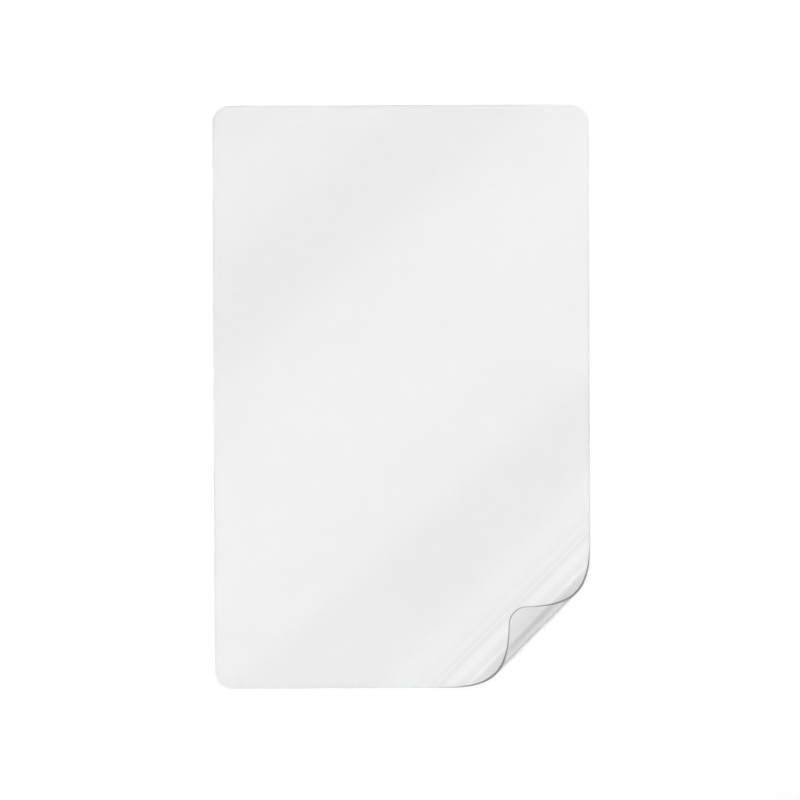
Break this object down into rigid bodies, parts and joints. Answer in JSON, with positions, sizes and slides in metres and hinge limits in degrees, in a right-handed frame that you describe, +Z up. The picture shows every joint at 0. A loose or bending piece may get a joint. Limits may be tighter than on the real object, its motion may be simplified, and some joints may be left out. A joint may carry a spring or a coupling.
{
  "type": "phone screen protector",
  "caption": "Clear flexible film cut to a rounded rectangle, with one corner peeled up and rolled back over its face. It covers a phone's display.",
  "frame": {"origin": "centre of the sheet's underside, where it lies on a phone or a table", "axes": "+Y along the sheet's length, +X along its width towards the rolled corner, +Z up out of its face"},
  "size_m": [0.0774, 0.12, 0.0151],
  "materials": {
    "clear_film": "clear soft plastic film, cast smooth on both faces, with cut edges"
  },
  "bodies": {
    "root": {"screen_film": "clear_film"}
  },
  "joints": []
}
